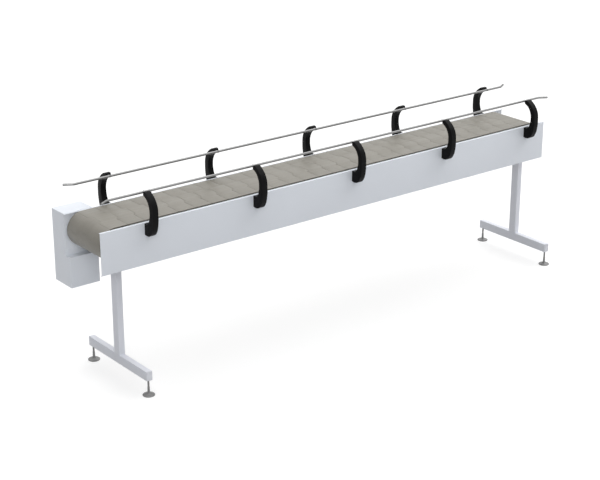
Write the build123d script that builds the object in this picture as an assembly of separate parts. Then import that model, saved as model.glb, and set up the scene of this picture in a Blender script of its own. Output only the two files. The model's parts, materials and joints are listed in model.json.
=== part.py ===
from build123d import *
import os
from math import cos, pi, sin

# All lengths are millimetres. +X runs along the conveyor, away from its drive end, +Y to the far side
# and +Z up. The origin is on the floor, under the middle of the whole length and width.

# Side frame
panel_length = 3004.0
panel_height = 218.5
panel_sheet = 3.0
panel_lip = 10.0
panel_bend = 1.5
panel_top_z = 862.0

# Chain of plates
belt_width = 305.0
belt_side_gap = 20.0
plate_thickness = 5.0
belt_above_panel = 4.0
plate_pitch = 97.5
seam_gap = 1.2
chain_advance_share = 0.72
tongue_depth = 18.0
tongue_wide_share = 0.341
tongue_narrow_share = 0.2623
knuckle_radius = 6.0
knuckle_drop = 4.0
knuckle_length_share = 0.1246
knuckle_gap = 1.5
hinge_pin_radius = 3.0
hinge_pin_clearance = 0.4
link_sides = 6
wrap_margin_share = 0.5

# Shafts, wheels and bearings
drive_axis_inset = 95.0
idler_axis_inset = 100.0
drive_shaft_radius = 15.0
idler_shaft_radius = 12.5
seat_clearance = 0.03
running_clearance = 0.05
chain_clearance = 0.3
toothed_wheel_width = 26.0
pocket_radius = 9.5
disc_width = 35.0
disc_side_gap = 12.5
wheel_hub_radius = 27.0
wheel_hub_step = 6.0
lightening_share = 0.66
lightening_count = 6
key_width = 8.0
key_height = 7.0
key_depth_in_shaft = 4.0
bearing_depth = 14.0
bearing_flange = 6.0
bearing_nose_radius = 26.0
bearing_ear_radius = 12.0
bearing_stud_spacing = 90.0
shaft_end_gap = 1.0
panel_shaft_hole_gap = 6.0

# Cross members, chain supports and return rollers
member_width = 60.0
member_height = 40.0
member_sheet = 3.0
member_end_inset = 170.0
member_tab_drop = 14.0
member_stud_inset = 16.0
strip_width = 40.0
strip_thickness = 8.0
strip_end_inset = 75.0
strip_lead_in = 3.0
carrier_depth = 25.0
carrier_sheet = 2.5
roller_radius = 20.0
roller_shaft_radius = 6.0
roller_side_gap = 14.0
roller_groove_width = 4.0
roller_groove_depth = 1.0
roller_count = 3

# Studs, nuts and bolts
stud_radius = 4.0
stud_length = 13.0
nut_across_flats = 13.0
nut_height = 6.5
bolt_head_height = 5.3
bolt_hole_clearance = 0.4

# Stands
post_depth_y = 51.0
post_width_x = 33.0
beam_past_foot = 13.5
beam_height = 50.0
tube_wall = 2.0
tube_corner = 2.5
beam_bottom_z = 82.0
stand_inset_drive = 180.0
stand_inset_idler = 20.5
post_top_plate = 6.0
head_sheet = 3.5
head_height = 28.0
head_post_gap = 0.5
head_below_chain = 12.0
head_bolt_spacing = 28.0
head_bolt_length = 18.0
head_bolt_radius = 4.0
plug_flange = 2.0
plug_depth = 3.0
plug_clearance = 0.2

# Levelling feet
foot_spacing = 518.0
pad_radius = 31.0
pad_edge = 5.0
pad_dish_height = 12.0
pad_sleeve_radius = 8.5
pad_sleeve_top_radius = 6.3
pad_sleeve_height = 46.0
pad_socket_floor = 4.0
spindle_radius = 5.0
spindle_in_beam = 28.0
spindle_chamfer = 1.0
foot_nut_across_flats = 16.0
foot_nut_height = 10.0

# Guide brackets and rails
bracket_count = 5
bracket_first = 262.5
bracket_last = 149.5
bracket_thickness = 31.0
bracket_reach = 78.0
bracket_rise = 157.0
bracket_block_depth = 64.0
bracket_block_top = 5.0
bracket_tip_in = 3.0
bracket_tip_height = 20.0
bracket_tip_round = 6.0
bracket_arm_inner = 22.0
bracket_edge = 5.0
bracket_bolt_below_top = 20.0
bracket_bolt_length = 24.0
rail_radius = 6.0
rail_inset = 20.0
rail_below_crown = 10.0
rail_start_inset = 12.0
rail_overhang = 14.0
rail_flare_length = 50.0
rail_flare_out = 27.0
rail_bend_radius = 45.0
clip_height = 8.0
clip_width = 12.0
clip_ring = 2.5
clip_mouth_inset = 1.5

# Drive: gearbox, motor and cover
cover_inset = 4.0
cover_end_gap = 30.0
cover_depth = 117.5
cover_reach_in = 38.5
cover_drop = 380.5
cover_sheet = 2.0
cover_tab = 18.0
cover_screw_radius = 2.5
cover_screw_head_radius = 4.5
cover_screw_head_height = 2.8
cover_screw_length = 8.0
cover_screw_inset = 13.0
cover_screw_rise = 120.0
cover_screw_low = 30.0
worm_centre_distance = 40.0
gearbox_standoff = 49.5
gearbox_depth = 72.0
gearbox_side = 42.0
gearbox_top_reach = 46.0
gearbox_bottom_reach = 56.0
gearbox_corner = 8.0
gearbox_boss_radius = 32.0
gearbox_flange_reach = 44.0
gearbox_flange = 6.0
gearbox_stud_spacing = 74.0
hub_radius = 21.0
motor_radius = 38.0
motor_length = 130.0
motor_flange_radius = 43.0
motor_flange = 8.0
motor_fin_count = 16
motor_fin_height = 4.0
motor_fin_width = 3.0
cowl_length = 42.0
cowl_wall = 1.5
cowl_slot_count = 8
cowl_slot_width = 5.0
terminal_box_side = 40.0
terminal_box_depth = 22.0

overrun = 5.0

# Places worked out from the sizes above
half_width = belt_width / 2 + belt_side_gap
overall_length = panel_length + rail_overhang
drive_end_x = -overall_length / 2
idler_end_x = drive_end_x + panel_length
panel_bottom_z = panel_top_z - panel_height
panel_inner_y = half_width - panel_sheet
belt_top_z = panel_top_z + belt_above_panel
plate_under_z = belt_top_z - plate_thickness

# The wheels take the largest odd number of pockets, two to a plate, that leaves room for the stand's head.
wheel_room = panel_height + belt_above_panel - plate_thickness - head_below_chain - head_height - panel_sheet
wheel_pockets = 2 * int(pi * wheel_room / plate_pitch - 1 / 2) + 1
neutral_radius = wheel_pockets * plate_pitch / (4 * pi)
belt_inner_radius = neutral_radius - plate_thickness / 2
belt_outer_radius = neutral_radius + plate_thickness / 2
axis_z = belt_top_z - belt_outer_radius

# An odd number of quarter plates in each straight run makes up a loop of whole plates.
run_room = panel_length - drive_axis_inset - idler_axis_inset
run_quarters = 2 * int(2 * run_room / plate_pitch) + 1
run_length = run_quarters * plate_pitch / 4
drive_x = drive_end_x + drive_axis_inset
idler_x = drive_x + run_length
wrap_length = pi * neutral_radius
plate_count = round((2 * run_length + 2 * wrap_length) / plate_pitch)
return_under_z = axis_z - belt_outer_radius
knuckle_circle = belt_inner_radius - knuckle_drop
tongue_wide = belt_width * tongue_wide_share
tongue_narrow = belt_width * tongue_narrow_share
knuckle_start_y = tongue_wide / 2 + knuckle_gap
knuckle_end_y = knuckle_start_y + belt_width * knuckle_length_share
disc_radius = belt_inner_radius - chain_clearance
tooth_radius = belt_inner_radius - 2 * chain_clearance
toothed_wheel_y = (knuckle_start_y + knuckle_end_y) / 2
disc_y = belt_width / 2 - disc_side_gap - disc_width / 2
strip_bottom_z = plate_under_z - strip_thickness
member_top_z = strip_bottom_z - carrier_depth
member_bottom_z = member_top_z - member_height
roller_z = return_under_z - chain_clearance - roller_radius
roller_xs = [drive_x + run_length * (n + 1) / (roller_count + 1) for n in range(roller_count)]
member_xs = [drive_x + member_end_inset] + roller_xs + [idler_x - member_end_inset]
head_top_z = return_under_z - head_below_chain
stand_xs = [drive_end_x + stand_inset_drive, idler_end_x - stand_inset_idler]
beam_top_z = beam_bottom_z + beam_height
beam_length = foot_spacing + 2 * beam_past_foot
spindle_top_z = beam_bottom_z + spindle_in_beam
head_width = post_width_x + 2 * head_post_gap + 2 * head_sheet
head_bolt_ys = [-head_bolt_spacing / 2, head_bolt_spacing / 2]
foot_ys = [-foot_spacing / 2, foot_spacing / 2]
bracket_pitch = (panel_length - bracket_first - bracket_last) / (bracket_count - 1)
bracket_xs = [drive_end_x + bracket_first + bracket_pitch * n for n in range(bracket_count)]
rail_z = panel_top_z + bracket_rise - rail_below_crown
rail_half_gap = half_width - rail_inset
bracket_bolt_z = panel_top_z - bracket_bolt_below_top
bearing_stud_offsets = [-bearing_stud_spacing / 2, bearing_stud_spacing / 2]
member_stud_zs = [member_top_z - member_stud_inset, roller_z + member_height]
head_stud_z = head_top_z - head_height / 2
cover_x0 = drive_end_x + cover_inset
cover_x1 = drive_x + gearbox_side + cover_end_gap
cover_back_y = half_width + cover_depth
cover_front_y = half_width - cover_reach_in
cover_bottom_z = panel_top_z - cover_drop
cover_screw_xs = [cover_x0 + cover_screw_inset, cover_x1 - cover_screw_inset]
cover_screw_zs = [panel_bottom_z + cover_screw_low, panel_bottom_z + cover_screw_low + cover_screw_rise]
gearbox_stud_offsets = [-gearbox_stud_spacing / 2, gearbox_stud_spacing / 2]
worm_x = drive_x - worm_centre_distance
gearbox_centre_y = half_width + gearbox_standoff
motor_top_z = axis_z - gearbox_bottom_reach

# Bracket outline: places outward from the panel face and up from the panel top, as shares of its
# reach and rise, or of the block's depth below the top.
bracket_heel_shares = [(0.27, -1.0), (0.56, -0.91), (0.81, -0.55)]
bracket_back_shares = [(0.96, 0.02), (1.0, 0.31), (0.96, 0.56), (0.835, 0.71), (0.64, 0.835), (0.39, 0.94)]
bracket_crown_share = 0.15
bracket_hollow_shares = [(0.23, 0.815), (0.41, 0.74), (0.55, 0.63), (0.64, 0.51), (0.67, 0.38), (0.64, 0.23),
                         (0.55, 0.09), (0.44, 0.012)]


def box_between(low, high):
    size = [h - l for l, h in zip(low, high)]
    centre = [(h + l) / 2 for l, h in zip(low, high)]
    return Pos(*centre) * Box(*size)


def bar_x(radius, x0, x1, y, z):
    return Pos((x0 + x1) / 2, y, z) * Rot(0, 90, 0) * Cylinder(radius, abs(x1 - x0))


def bar_y(radius, y0, y1, x, z):
    return Pos(x, (y0 + y1) / 2, z) * Rot(90, 0, 0) * Cylinder(radius, abs(y1 - y0))


def bar_z(radius, z0, z1, x, y):
    return Pos(x, y, (z0 + z1) / 2) * Cylinder(radius, abs(z1 - z0))


def prism_y(sides, inradius, y0, y1, x, z):
    outline = RegularPolygon(inradius, sides, major_radius=False)
    solid = extrude(outline, abs(y1 - y0) / 2, both=True)
    return Pos(x, (y0 + y1) / 2, z) * Rot(90, 0, 0) * solid


def save(node, *solids):
    """Write one node, which holds one or more separate solids."""
    pieces = [s for item in solids for s in item.solids()]
    shape = pieces[0] if len(pieces) == 1 else Compound(children=pieces)
    shape.label = node
    export_step(shape, os.path.join("parts", node + ".step"))


# Chain: its path, one link, and the links bent round the wheels

def path_plane(s):
    """The plane on the chain's neutral line at s, with x along the run and z out of the loop."""
    s = s % (2 * run_length + 2 * wrap_length)
    if s <= run_length:
        return Plane((drive_x + s, 0, axis_z + neutral_radius), x_dir=(1, 0, 0), z_dir=(0, 0, 1))
    if run_length + wrap_length <= s <= 2 * run_length + wrap_length:
        x = idler_x - (s - run_length - wrap_length)
        return Plane((x, 0, axis_z - neutral_radius), x_dir=(-1, 0, 0), z_dir=(0, 0, -1))
    round_idler = s < run_length + wrap_length
    centre = idler_x if round_idler else drive_x
    turn = (s - run_length if round_idler else s - 2 * run_length) / neutral_radius
    x = centre + neutral_radius * sin(turn)
    z = axis_z + neutral_radius * cos(turn)
    return Plane((x, 0, z), x_dir=(cos(turn), 0, -sin(turn)), z_dir=(sin(turn), 0, cos(turn)))


def seam_points(x):
    """The stepped edge between two plates, from the near side to the far side."""
    wide = tongue_wide / 2
    narrow = tongue_narrow / 2
    edge = belt_width / 2
    deep = x + tongue_depth
    return [(x, -edge), (x, -wide), (deep, -narrow), (deep, narrow), (x, wide), (x, edge)]


def knuckle_bar(x, y0, y1, inradius=knuckle_radius):
    return prism_y(link_sides, inradius, y0, y1, x, -plate_thickness / 2 - knuckle_drop)


def outer_knuckles_and_pin():
    """The two knuckles under a plate's leading edge, and the pin that they hold."""
    x = tongue_depth / 2
    near = knuckle_bar(x, -knuckle_end_y, -knuckle_start_y)
    far = knuckle_bar(x, knuckle_start_y, knuckle_end_y)
    pin = knuckle_bar(x, -knuckle_end_y, knuckle_end_y, hinge_pin_radius)
    return near + far + pin


def tongue_knuckle():
    """The knuckle under a plate's trailing tongue, bored for the next plate's pin."""
    x = plate_pitch + tongue_depth / 2
    half = tongue_narrow / 2 - knuckle_gap
    bore = knuckle_bar(x, -half - overrun, half + overrun, hinge_pin_radius + hinge_pin_clearance)
    return knuckle_bar(x, -half, half) - bore


def flat_link():
    front = seam_points(seam_gap / 2)
    rear = seam_points(plate_pitch - seam_gap / 2)
    outline = make_face(Polyline(*front, *reversed(rear), close=True))
    plate = extrude(outline, plate_thickness / 2, both=True)
    return plate + outer_knuckles_and_pin() + tongue_knuckle()


def placed(shape, s):
    return path_plane(s).location * shape


def link_start(k):
    return (k + chain_advance_share) * plate_pitch


def seam_cutter():
    """The narrow stepped gap between two plates, cut right through them."""
    front = seam_points(-seam_gap / 2)
    rear = seam_points(seam_gap / 2)
    front[0] = (front[0][0], front[0][1] - overrun)
    front[-1] = (front[-1][0], front[-1][1] + overrun)
    rear[0] = (rear[0][0], rear[0][1] - overrun)
    rear[-1] = (rear[-1][0], rear[-1][1] + overrun)
    outline = make_face(Polyline(*front, *reversed(rear), close=True))
    return extrude(outline, plate_thickness, both=True)


def bent_links(centre_x, outward, first, last):
    """Links first to last round one end of the loop. outward is +1 at the idler and -1 at the drive."""
    margin = plate_pitch * (1 + wrap_margin_share)
    ring = Circle(belt_outer_radius) - Circle(belt_inner_radius)
    keep = Pos(outward * belt_outer_radius / 2, 0) * Rectangle(belt_outer_radius, 2 * belt_outer_radius)
    half_ring = ring & keep
    strap = Rectangle(margin, plate_thickness)
    upper = Pos(-outward * margin / 2, neutral_radius) * strap
    lower = Pos(-outward * margin / 2, -neutral_radius) * strap
    profile = half_ring + upper + lower
    body = Pos(centre_x, 0, axis_z) * Rot(90, 0, 0) * extrude(profile, belt_width / 2, both=True)
    for k in range(first, last + 2):
        body -= placed(seam_cutter(), link_start(k))
    whole = belt_width * plate_pitch * plate_thickness
    plates = [s for s in body.solids() if s.volume > whole * 3 / 4]
    links = []
    for k in range(first, last + 1):
        middle = path_plane(link_start(k) + plate_pitch / 2).origin
        plate = min(plates, key=lambda s: (s.center() - middle).length)
        link = plate + placed(outer_knuckles_and_pin(), link_start(k))
        # The tongue's knuckle is set out from the plate's own leading edge, so it is brought back there.
        tail = Pos(-plate_pitch, 0, 0) * tongue_knuckle()
        links.append(link + placed(tail, link_start(k + 1)))
    return links


def make_chain():
    link_reach = chain_advance_share * plate_pitch + plate_pitch + tongue_depth
    first_idler = int((run_length - link_reach) / plate_pitch) + 1
    first_return = int((run_length + wrap_length) / plate_pitch - chain_advance_share) + 1
    first_drive = int((2 * run_length + wrap_length - link_reach) / plate_pitch) + 1
    link = flat_link()
    save("chain_carry_run", *[placed(link, link_start(k)) for k in range(first_idler)])
    save("chain_return_run", *[placed(link, link_start(k)) for k in range(first_return, first_drive)])
    save("chain_idler_wrap", *bent_links(idler_x, 1, first_idler, first_return - 1))
    save("chain_drive_wrap", *bent_links(drive_x, -1, first_drive, plate_count - 1))


# Side panels, cross members and chain supports

def panel_studs(side):
    """Studs welded inside a panel, which hold what bolts to it, and leave its outer face bare."""
    inner = side * panel_inner_y
    tip = inner - side * stud_length
    places = [(x, z) for x in member_xs for z in member_stud_zs]
    places += [(x, head_stud_z) for x in stand_xs]
    places += [(x + d, axis_z) for x in (drive_x, idler_x) for d in bearing_stud_offsets]
    return [bar_y(stud_radius, inner, tip, x, z) for x, z in places]


def side_panel(side):
    low_y, high_y = sorted((side * half_width, side * (half_width - panel_lip)))
    outer = box_between((drive_end_x, low_y, panel_bottom_z), (idler_end_x, high_y, panel_top_z))
    wall_side = -1 if side > 0 else 0
    outer = fillet(outer.edges().filter_by(Axis.X).group_by(Axis.Y)[wall_side], panel_bend + panel_sheet)
    low_in, high_in = sorted((side * panel_inner_y, side * (half_width - panel_lip - overrun)))
    hollow = box_between((drive_end_x - overrun, low_in, panel_bottom_z + panel_sheet),
                         (idler_end_x + overrun, high_in, panel_top_z - panel_sheet))
    hollow = fillet(hollow.edges().filter_by(Axis.X).group_by(Axis.Y)[wall_side], panel_bend)
    panel = outer - hollow
    inside = side * (panel_inner_y - overrun)
    outside = side * (half_width + overrun)
    bolt_hole = stud_radius + bolt_hole_clearance
    for x in bracket_xs:
        panel -= bar_y(bolt_hole, inside, outside, x, bracket_bolt_z)
    if side > 0:
        panel -= bar_y(drive_shaft_radius + panel_shaft_hole_gap, inside, outside, drive_x, axis_z)
        for x in cover_screw_xs:
            for z in cover_screw_zs:
                panel -= bar_y(cover_screw_radius + bolt_hole_clearance, inside, outside, x, z)
        for dx in gearbox_stud_offsets:
            for dz in gearbox_stud_offsets:
                panel += bar_y(stud_radius, half_width - panel_sheet / 2, half_width + stud_length,
                               drive_x + dx, axis_z + dz)
    for stud in panel_studs(side):
        panel += stud
    return panel


def nut(x, z, face_y, side):
    """A hexagon nut on a stud, its outer face turned to the middle of the conveyor."""
    back = face_y - side * nut_height
    body = prism_y(6, nut_across_flats / 2, face_y, back, x, z)
    return body - bar_y(stud_radius + running_clearance, face_y + side * overrun, back - side * overrun, x, z)


def make_panels():
    save("near_side_panel", side_panel(-1))
    save("far_side_panel", side_panel(1))
    nuts = []
    for side in (-1, 1):
        tab_face = side * (panel_inner_y - member_sheet)
        nuts += [nut(x, z, tab_face, side) for x in member_xs for z in member_stud_zs]
        nuts += [nut(x, head_stud_z, side * (panel_inner_y - head_sheet), side) for x in stand_xs]
        flange_face = side * (panel_inner_y - bearing_flange)
        for x in (drive_x, idler_x):
            nuts += [nut(x + d, axis_z, flange_face, side) for d in bearing_stud_offsets]
    gearbox_face = half_width + gearbox_flange
    for dx in gearbox_stud_offsets:
        nuts += [nut(drive_x + dx, axis_z + dz, gearbox_face, -1) for dz in gearbox_stud_offsets]
    save("stud_nuts", *nuts)


def cross_member(x, has_roller):
    """A folded channel between the panels. Its end tabs run down the panels to carry a roller shaft."""
    y = panel_inner_y
    half = member_width / 2
    body = box_between((x - half, -y, member_bottom_z), (x + half, y, member_top_z))
    body -= box_between((x - half + member_sheet, -y + member_sheet, member_bottom_z - overrun),
                        (x + half - member_sheet, y - member_sheet, member_top_z - member_sheet))
    tab_bottom = roller_z - member_tab_drop
    for side in (-1, 1):
        y0, y1 = sorted((side * y, side * (y - member_sheet)))
        body += box_between((x - half, y0, tab_bottom), (x + half, y1, member_top_z))
        for z in member_stud_zs:
            body -= bar_y(stud_radius + bolt_hole_clearance, y0 - overrun, y1 + overrun, x, z)
        if has_roller:
            body -= bar_y(roller_shaft_radius + seat_clearance, y0 - overrun, y1 + overrun, x, roller_z)
    return body


def strip_carrier(side):
    """A downward channel under each wear strip, standing on the cross members."""
    x0 = drive_x + strip_end_inset
    x1 = idler_x - strip_end_inset
    y = side * disc_y
    half = strip_width / 2
    body = box_between((x0, y - half, member_top_z), (x1, y + half, strip_bottom_z))
    inner = half - carrier_sheet
    return body - box_between((x0 - overrun, y - inner, member_top_z - overrun),
                              (x1 + overrun, y + inner, strip_bottom_z - carrier_sheet))


def wear_strip(side):
    x0 = drive_x + strip_end_inset
    x1 = idler_x - strip_end_inset
    y = side * disc_y
    half = strip_width / 2
    body = box_between((x0, y - half, strip_bottom_z), (x1, y + half, plate_under_z))
    ends = body.edges().filter_by(Axis.Y).group_by(Axis.Z)[-1]
    return chamfer(ends, strip_lead_in)


def return_roller(x):
    half = belt_width / 2 - roller_side_gap
    body = bar_y(roller_radius, -half, half, x, roller_z)
    groove_half = roller_groove_width / 2
    for side in (-1, 1):
        y = side * half / 2
        low, high = y - groove_half, y + groove_half
        ring = bar_y(roller_radius + overrun, low, high, x, roller_z)
        ring -= bar_y(roller_radius - roller_groove_depth, low - overrun, high + overrun, x, roller_z)
        body -= ring
    bore = roller_shaft_radius + running_clearance
    return body - bar_y(bore, -half - overrun, half + overrun, x, roller_z)


def make_frame_inside():
    save("cross_members", *[cross_member(x, x in roller_xs) for x in member_xs])
    save("strip_carriers", strip_carrier(-1), strip_carrier(1))
    save("wear_strips", wear_strip(-1), wear_strip(1))
    for n, x in enumerate(roller_xs):
        save("return_roller_%d" % (n + 1), return_roller(x))
    y = panel_inner_y - seat_clearance
    save("roller_shafts", *[bar_y(roller_shaft_radius, -y, y, x, roller_z) for x in roller_xs])


# Drive and idler shafts

def pocket_angles():
    """Places of the wheel's pockets, in degrees from straight up towards the idler."""
    last_pin = link_start(plate_count - 1) + tongue_depth / 2
    first = (last_pin - 2 * run_length - wrap_length) / neutral_radius * 180 / pi + 180
    return [first + n * 360 / wheel_pockets for n in range(wheel_pockets)]


def key_cutter(x, y0, y1, radius, clearance):
    half = key_width / 2 + clearance
    low = axis_z + radius - key_depth_in_shaft - clearance
    high = axis_z + radius - key_depth_in_shaft + key_height + clearance
    return box_between((x - half, y0 - clearance, low), (x + half, y1 + clearance, high))


def toothed_wheel(y):
    """A wheel whose pockets take the hinge knuckles, every other one at each turn."""
    half = toothed_wheel_width / 2
    profile = Circle(tooth_radius)
    reach = tooth_radius - knuckle_circle + overrun
    slot = Circle(pocket_radius) + Pos(0, reach / 2) * Rectangle(2 * pocket_radius, reach)
    for angle in pocket_angles():
        profile -= Rot(0, 0, -angle) * Pos(0, knuckle_circle) * slot
    middle = (wheel_hub_radius + knuckle_circle - pocket_radius) / 2
    hole = (middle - wheel_hub_radius) * lightening_share
    for n in range(lightening_count):
        profile -= Rot(0, 0, n * 360 / lightening_count) * Pos(0, middle) * Circle(hole)
    body = Pos(drive_x, y, axis_z) * Rot(90, 0, 0) * extrude(profile, half, both=True)
    side = 1 if y > 0 else -1
    body += bar_y(wheel_hub_radius, y, y - side * (half + wheel_hub_step), drive_x, axis_z)
    low, high = y - half - wheel_hub_step - overrun, y + half + wheel_hub_step + overrun
    body -= bar_y(drive_shaft_radius + seat_clearance, low, high, drive_x, axis_z)
    return body - key_cutter(drive_x, low, high, drive_shaft_radius, seat_clearance)


def plain_disc(x, y, shaft_radius):
    """A smooth wheel under the plates' outer parts."""
    half = disc_width / 2
    body = bar_y(disc_radius, y - half, y + half, x, axis_z)
    middle = (wheel_hub_radius + disc_radius) / 2
    hole = (middle - wheel_hub_radius) * lightening_share
    for n in range(lightening_count):
        turn = 2 * pi * n / lightening_count
        hole_x = x + middle * sin(turn)
        hole_z = axis_z + middle * cos(turn)
        body -= bar_y(hole, y - half - overrun, y + half + overrun, hole_x, hole_z)
    return body - bar_y(shaft_radius + seat_clearance, y - half - overrun, y + half + overrun, x, axis_z)


def bearing(x, side, shaft_radius):
    """A two-stud flange bearing inside a side panel."""
    face = side * panel_inner_y
    flange_y = side * (panel_inner_y - bearing_flange)
    nose_y = side * (panel_inner_y - bearing_depth)
    outside = face + side * overrun
    inside = nose_y - side * overrun
    reach = bearing_stud_spacing / 2
    ear = bearing_ear_radius
    y0, y1 = sorted((face, flange_y))
    body = bar_y(bearing_nose_radius, face, nose_y, x, axis_z)
    body += box_between((x - reach, y0, axis_z - ear), (x + reach, y1, axis_z + ear))
    for d in bearing_stud_offsets:
        body += bar_y(ear, face, flange_y, x + d, axis_z)
        body -= bar_y(stud_radius + bolt_hole_clearance, outside, inside, x + d, axis_z)
    return body - bar_y(shaft_radius + running_clearance, outside, inside, x, axis_z)


def make_shafts():
    near_end = -panel_inner_y + shaft_end_gap
    far_end = gearbox_centre_y + gearbox_depth / 2
    shaft = bar_y(drive_shaft_radius, near_end, far_end, drive_x, axis_z)
    half = toothed_wheel_width / 2
    spans = [(y - half, y + half) for y in (-toothed_wheel_y, toothed_wheel_y)]
    half = gearbox_depth / 4
    spans.append((gearbox_centre_y - half, gearbox_centre_y + half))
    for y0, y1 in spans:
        shaft -= key_cutter(drive_x, y0, y1, drive_shaft_radius, seat_clearance)
    save("drive_shaft", shaft)
    save("drive_keys", *[key_cutter(drive_x, y0, y1, drive_shaft_radius, 0) for y0, y1 in spans])
    save("drive_wheels", toothed_wheel(-toothed_wheel_y), toothed_wheel(toothed_wheel_y))
    save("idler_shaft", bar_y(idler_shaft_radius, near_end, -near_end, idler_x, axis_z))
    for end, x, radius in (("drive", drive_x, drive_shaft_radius), ("idler", idler_x, idler_shaft_radius)):
        save(end + "_discs", plain_disc(x, -disc_y, radius), plain_disc(x, disc_y, radius))
        save(end + "_bearings", bearing(x, -1, radius), bearing(x, 1, radius))


# Gearbox, motor and their cover

def gearbox_housing():
    """A worm gearbox: a boss on the panel, a case round shaft and worm, and a motor flange below."""
    front = gearbox_centre_y - gearbox_depth / 2
    back = gearbox_centre_y + gearbox_depth / 2
    case = box_between((worm_x - motor_flange_radius, front, axis_z - gearbox_bottom_reach),
                       (drive_x + gearbox_side, back, axis_z + gearbox_top_reach))
    case = fillet(case.edges().filter_by(Axis.Y), gearbox_corner)
    reach = gearbox_flange_reach
    flange = box_between((drive_x - reach, half_width, axis_z - reach),
                         (drive_x + reach, half_width + gearbox_flange, axis_z + reach))
    boss = bar_y(gearbox_boss_radius, half_width, front, drive_x, axis_z)
    body = case + flange + boss
    for dx in gearbox_stud_offsets:
        for dz in gearbox_stud_offsets:
            body -= bar_y(stud_radius + bolt_hole_clearance, half_width - overrun,
                          half_width + gearbox_flange + overrun, drive_x + dx, axis_z + dz)
    return body - bar_y(hub_radius + running_clearance, half_width - overrun, back + overrun, drive_x, axis_z)


def gearbox_hub():
    """The hollow output shaft that turns in the gearbox and takes the drive shaft."""
    front = half_width + running_clearance
    back = gearbox_centre_y + gearbox_depth / 2
    body = bar_y(hub_radius, front, back, drive_x, axis_z)
    body -= bar_y(drive_shaft_radius + seat_clearance, front - overrun, back + overrun, drive_x, axis_z)
    return body - key_cutter(drive_x, front - overrun, back + overrun, drive_shaft_radius, seat_clearance)


def motor_body():
    flange = bar_z(motor_flange_radius, motor_top_z - motor_flange, motor_top_z, worm_x, gearbox_centre_y)
    low = motor_top_z - motor_length
    body = flange + bar_z(motor_radius, low, motor_top_z, worm_x, gearbox_centre_y)
    reach = motor_radius + motor_fin_height
    half = motor_fin_width / 2
    fin = box_between((-reach, -half, low + motor_flange), (reach, half, motor_top_z))
    for n in range(motor_fin_count // 2):
        body += Pos(worm_x, gearbox_centre_y, 0) * Rot(0, 0, n * 360 / motor_fin_count) * fin
    half = terminal_box_side / 2
    middle = (low + motor_top_z) / 2
    body += box_between((worm_x, gearbox_centre_y - half, middle - half),
                        (worm_x + motor_radius + terminal_box_depth, gearbox_centre_y + half, middle + half))
    return body


def motor_cowl():
    top = motor_top_z - motor_length - running_clearance
    low = top - cowl_length
    body = bar_z(motor_radius, low, top, worm_x, gearbox_centre_y)
    body -= bar_z(motor_radius - cowl_wall, low + cowl_wall, top + overrun, worm_x, gearbox_centre_y)
    half = cowl_slot_width / 2
    reach = motor_radius * 3 / 4
    for n in range(cowl_slot_count // 2):
        slot = box_between((-reach, -half, low - overrun), (reach, half, low + cowl_wall + overrun))
        slot -= bar_z(motor_radius / 4, low - 2 * overrun, low + 2 * overrun, 0, 0)
        body -= Pos(worm_x, gearbox_centre_y, 0) * Rot(0, 0, n * 360 / cowl_slot_count) * slot
    return body


def drive_cover():
    """A sheet box on the far panel that also reaches in under it, round the gearbox and motor."""
    wall = cover_sheet
    upper = box_between((cover_x0, half_width, panel_bottom_z), (cover_x1, cover_back_y, panel_top_z))
    lower = box_between((cover_x0, cover_front_y, cover_bottom_z), (cover_x1, cover_back_y, panel_bottom_z))
    low_room = box_between((cover_x0 + wall, cover_front_y + wall, cover_bottom_z + wall),
                           (cover_x1 - wall, cover_back_y - wall, panel_bottom_z - wall))
    neck = box_between((cover_x0 + wall, half_width + wall, panel_bottom_z - wall - overrun),
                       (cover_x1 - wall, cover_back_y - wall, panel_bottom_z + overrun))
    upper_room = box_between((cover_x0 + wall, half_width - overrun, panel_bottom_z),
                             (cover_x1 - wall, cover_back_y - wall, panel_top_z - wall))
    body = upper + lower - low_room - neck - upper_room
    for x0, x1 in ((cover_x0, cover_x0 + cover_tab), (cover_x1 - cover_tab, cover_x1)):
        body += box_between((x0, half_width, panel_bottom_z), (x1, half_width + wall, panel_top_z - wall))
    hole = cover_screw_radius + seat_clearance
    for x in cover_screw_xs:
        for z in cover_screw_zs:
            body -= bar_y(hole, half_width - overrun, half_width + wall + overrun, x, z)
    return body


def cover_screw(x, z):
    head = bar_y(cover_screw_head_radius, panel_inner_y, panel_inner_y - cover_screw_head_height, x, z)
    return head + bar_y(cover_screw_radius, panel_inner_y, panel_inner_y + cover_screw_length, x, z)


def make_drive():
    save("gearbox_housing", gearbox_housing())
    save("gearbox_hub", gearbox_hub())
    save("motor_body", motor_body())
    save("motor_cowl", motor_cowl())
    save("drive_cover", drive_cover())
    save("cover_screws", *[cover_screw(x, z) for x in cover_screw_xs for z in cover_screw_zs])


# Stands and levelling feet

def tube_profile(width, depth):
    outer = fillet(Rectangle(width, depth).vertices(), tube_corner)
    room = Rectangle(width - 2 * tube_wall, depth - 2 * tube_wall)
    return outer - fillet(room.vertices(), tube_corner - tube_wall)


def post(x):
    low, high = beam_top_z, head_top_z - head_sheet
    tube = Pos(x, 0, low) * extrude(tube_profile(post_width_x, post_depth_y), high - low)
    inner_x = post_width_x / 2 - tube_wall / 2
    inner_y = post_depth_y / 2 - tube_wall / 2
    tube += box_between((x - inner_x, -inner_y, high - post_top_plate), (x + inner_x, inner_y, high))
    hole = head_bolt_radius + seat_clearance
    for y in head_bolt_ys:
        tube -= bar_z(hole, high - post_top_plate - overrun, high + overrun, x, y)
    return tube


def beam(x):
    half = beam_length / 2 - plug_flange
    middle = (beam_bottom_z + beam_top_z) / 2
    tube = Pos(x, -half, middle) * Rot(-90, 0, 0) * extrude(tube_profile(post_width_x, beam_height), 2 * half)
    hole = spindle_radius + bolt_hole_clearance
    for y in foot_ys:
        tube -= bar_z(hole, beam_bottom_z - overrun, beam_bottom_z + overrun, x, y)
    return tube


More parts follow.
